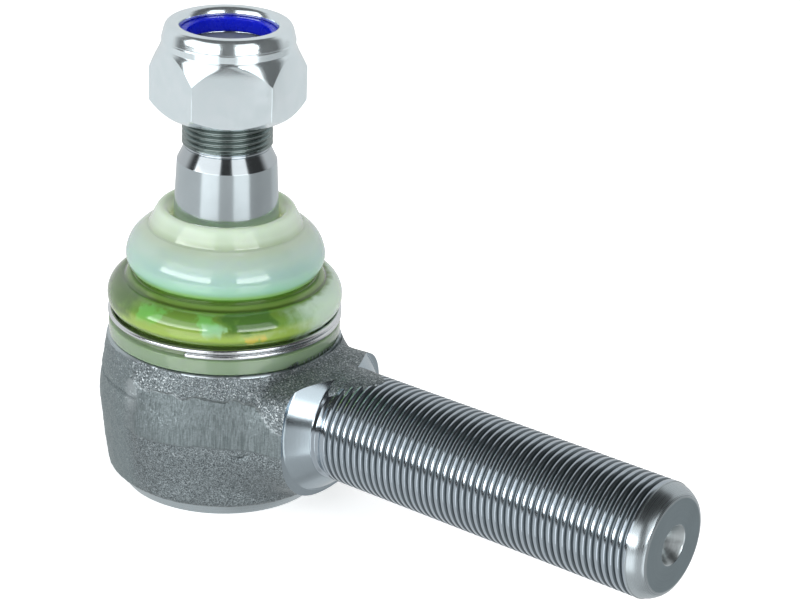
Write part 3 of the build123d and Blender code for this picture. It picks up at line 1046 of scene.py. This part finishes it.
def make_nut(plate):
    nut = hexagon()
    cut_by(nut, nut_blank(), "INTERSECT")
    soft = nut.modifiers.new("edges", "BEVEL")
    soft.width = nut_bevel * MM
    soft.segments = 2
    soft.limit_method = "ANGLE"
    soft.angle_limit = radians(24)
    nut.data.materials.clear()
    wear(nut, plate)
    nut.data.shade_smooth()
    nut.data.set_sharp_from_angle(angle=radians(38))
    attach(nut, "nut")
    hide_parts("lock_nut")


def make_insert(skin):
    """Nylon ring under the nut's rolled rim."""
    lowest, highest = low("nylon_insert").z, high("nylon_insert").z
    profile = softened([
        (15.0, lowest), (15.0, highest - 0.2), (12.9, highest), (11.1, highest), (10.75, highest - 0.3),
        (10.75, lowest + 0.4), (11.3, lowest), (15.0, lowest)], 0.25, 4)
    ring = lathe("lock_insert", profile[:-1], segments=160, sharp=60)
    wear(ring, skin)
    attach(ring, "nut_travel")
    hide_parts("nylon_insert")


# ---- boot ----
# climb runs from 0 at the collar's foot to 1 at the inner edge of the lip
# the colours hold painted shade, dark in the creases, and painted light, pale at the lip's inner edge
boot_colour_light_and_shade = [
    (0.00, (0.15, 0.22, 0.14)), (0.10, (0.20, 0.28, 0.18)), (0.125, (0.18, 0.26, 0.15)),
    (0.16, (0.15, 0.21, 0.10)), (0.20, (0.06, 0.11, 0.018)), (0.225, (0.10, 0.18, 0.02)),
    (0.25, (0.26, 0.38, 0.06)), (0.285, (0.25, 0.36, 0.07)), (0.32, (0.15, 0.28, 0.055)),
    (0.375, (0.12, 0.22, 0.035)), (0.405, (0.12, 0.23, 0.03)), (0.42, (0.05, 0.09, 0.01)),
    (0.435, (0.14, 0.24, 0.05)), (0.465, (0.15, 0.27, 0.06)), (0.485, (0.08, 0.18, 0.02)),
    (0.50, (0.13, 0.34, 0.05)), (0.515, (0.27, 0.52, 0.17)), (0.55, (0.29, 0.52, 0.39)),
    (0.62, (0.34, 0.50, 0.45)), (0.70, (0.42, 0.54, 0.47)), (0.77, (0.46, 0.55, 0.43)),
    (0.795, (0.40, 0.49, 0.35)), (0.83, (0.52, 0.62, 0.49)), (0.88, (0.58, 0.69, 0.56)),
    (0.92, (0.57, 0.68, 0.50)), (0.95, (0.58, 0.68, 0.46)), (1.00, (0.62, 0.70, 0.42)),
]


def boot_half(name, outside, inside, climbs, skin):
    """One lobe of the boot, closed at its foot and its head by flat rings."""
    lobe = finish_mesh(name, *turned(outside + inside[::-1], segments=224), sharp=70)
    places = vertex_places(lobe.data)
    out = np.hypot(places[:, 0], places[:, 1])
    radii, heights = np.array(outside).T
    nearest = np.argmin((out[:, None] - radii) ** 2 + (places[:, 2:] - heights) ** 2, axis=1)
    climb = lobe.data.attributes.new("climb", "FLOAT", "POINT")
    climb.data.foreach_set("value", climbs[nearest])
    wear(lobe, skin)
    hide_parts("boot")
    return lobe


def boot_outlines():
    """Outer and inner outlines of the lower lobe, then of the upper one."""
    foot_z = low("boot").z
    collar = softened([
        (upstand_r + 0.3, foot_z), (30.9, foot_z), (30.9, 18.6), (29.75, 19.1), (29.75, 22.3)], 0.3)
    lower = spline([
        (29.75, 22.3), (30.3, 22.7), (31.0, 24.1), (31.2, 25.8), (30.95, 27.3), (30.2, 28.8),
        (28.9, 30.1), (27.6, 30.65), (26.8, 30.6)], 6)
    lower += spline([
        (26.8, 30.6), (26.3, 31.15), (25.7, 31.7), (25.0, 31.85), (24.5, 31.75),
        (waist_r, waist_z)], 4)[1:]
    upper = spline([
        (waist_r, waist_z), (24.35, 32.6), (25.2, 33.5), (26.15, 35.4), (26.35, 37.2), (26.1, 38.6),
        (25.5, 40.3), (24.6, 41.8), (23.4, 43.1), (22.2, 44.1), (20.9, 44.9)], 6)
    lip = spline([(20.9, 44.9), (20.7, 44.95), (20.35, 45.2), (20.2, 45.6)], 3)[1:]
    lip += spline([
        (18.3, 49.3), (17.7, 49.9), (16.9, 50.1), (16.2, 49.9), (15.2, 49.1), (14.4, 48.1),
        (14.1, 46.8)], 4)
    low_inner = [(upstand_r + 0.3, foot_z)] + spline([
        (28.65, 23.2), (28.9, 26.0), (27.9, 28.2), (26.3, 28.8), (24.6, 29.6),
        (inner_waist_r, waist_z)], 5)
    high_inner = spline([
        (inner_waist_r, waist_z), (23.7, 33.6), (24.6, 36.3), (24.1, 39.4), (21.4, 42.3),
        (17.4, 42.8), (14.3, 43.6)], 5) + [(14.2, 45.0), (14.2, 46.6)]
    return collar[:-1] + lower, low_inner, upper + lip, high_inner


def make_boot(skin):
    low_outer, low_inner, high_outer, high_inner = boot_outlines()
    whole = np.array(low_outer + high_outer[1:])
    lengths = np.concatenate([[0], np.cumsum(np.linalg.norm(np.diff(whole, axis=0), axis=1))])
    climbs = lengths / lengths[-1]
    count = len(low_outer)
    foot = boot_half("boot_lower_lobe", low_outer, low_inner, climbs[:count], skin)
    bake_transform(foot)
    head = boot_half("boot_upper_lobe", high_outer, high_inner, climbs[count - 1:], skin)
    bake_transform(head)


def make_clamp_ring(skin):
    """Spring wire wound in the groove of the boot's collar."""
    middle_z = (low("boot_clamp_ring").z + high("boot_clamp_ring").z) / 2
    coil_r = high("boot_clamp_ring").x - wire_r
    steps = 300
    path = []
    for i in range(steps + 1):
        turn = i / steps * wire_turns
        angle = radians(wire_start) + 2 * pi * turn
        rise = wire_pitch * (turn - wire_turns / 2)
        path.append((coil_r * cos(angle), coil_r * sin(angle), middle_z + rise))
    ring = finish_mesh("clamp_wire", *swept(path, wire_r), sharp=70)
    wear(ring, skin)
    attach(ring, "housing")
    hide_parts("boot_clamp_ring")


def dress(node, material):
    """Gives a CAD node that stays its own material."""
    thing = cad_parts[node]
    if not thing.material_slots:
        wear(thing, material)
    for slot in thing.material_slots:
        slot.material = material


# ---- the whole part ----
make_camera()
make_world()
make_lights()
make_floor()
bpy.context.scene.view_settings.view_transform = "Standard"

body_steel = turned_steel("turned_body_steel", "Z", (0.56, 0.63, 0.66), 0.30, 0.15)
pressed = turned_steel("pressed_cover_steel", "Z", (0.52, 0.55, 0.57), 0.36, 0.5, 0.004)
forged_skin = forged_steel()
wire_skin = clouded("spring_wire_skin", (0.5, 3.0), (0.72, 0.74, 0.76), (0.88, 0.90, 0.91), (0.16, 0.26),
                    (0.5, 3.0), 0.008, 1.0)
nylon = clouded("blue_nylon_skin", (2.0, 2.0), (0.001, 0.006, 0.50), (0.001, 0.012, 0.64), (0.24, 0.32),
                (0.4, 2.0), 0.01)

make_forging(
    forged_skin,
    body_steel,
    turned_steel("turned_shoulder_steel", "X", (0.52, 0.60, 0.65), 0.17, 0.15),
)
make_sleeve(body_steel)
make_shank(
    turned_steel("turned_shank_steel", "X", (0.54, 0.61, 0.67), 0.13, 0.12),
    turned_steel("faced_end_steel", "X", (0.36, 0.43, 0.46), 0.48, 0.30, 0.006),
    # painted shade: the thread's flanks are a darker copy of the shank steel, for the dark grooves
    turned_steel("thread_flank_shaded_steel", "X", (0.20, 0.235, 0.26), 0.36, 0.12),
    turned_steel("centre_hole_steel", "X", (0.68, 0.73, 0.74), 0.34, 0.9, 0.05, 0.20),
    turned_steel("chamfered_end_steel", "X", (0.56, 0.62, 0.65), 0.27, 0.20, 0.006),
)
make_ridge(forged_skin)
make_stud(
    turned_steel("ground_taper_steel", "Z", (0.62, 0.69, 0.72), 0.17, 0.10, 0.003),
    turned_steel("rolled_thread_steel", "Z", (0.31, 0.36, 0.35), 0.24, 0.12),
    turned_steel("polished_chamfer_steel", "Z", (0.62, 0.67, 0.70), 0.12, 0.12, 0.002),
    moulded("sawn_end_steel", (0.16, 0.19, 0.22), (0.24, 0.27, 0.30), 0.6),
)
make_nut(zinc())
make_insert(nylon)
make_boot(boot_rubber())
make_clamp_ring(wire_skin)

bearing = moulded("bearing_acetal", (0.60, 0.58, 0.50), (0.72, 0.70, 0.62), 0.35)
seal = moulded("seal_nitrile", (0.015, 0.015, 0.016), (0.03, 0.03, 0.03), 0.5)
for node, material in {
    "upper_bearing_shell": bearing,
    "lower_bearing_shell": bearing,
    "pressure_plate": pressed,
    "preload_spring": wire_skin,
    "end_cover": pressed,
    "cover_seal": seal,
    "boot_lip_ring": pressed,
}.items():
    dress(node, material)

bpy.context.view_layer.update()
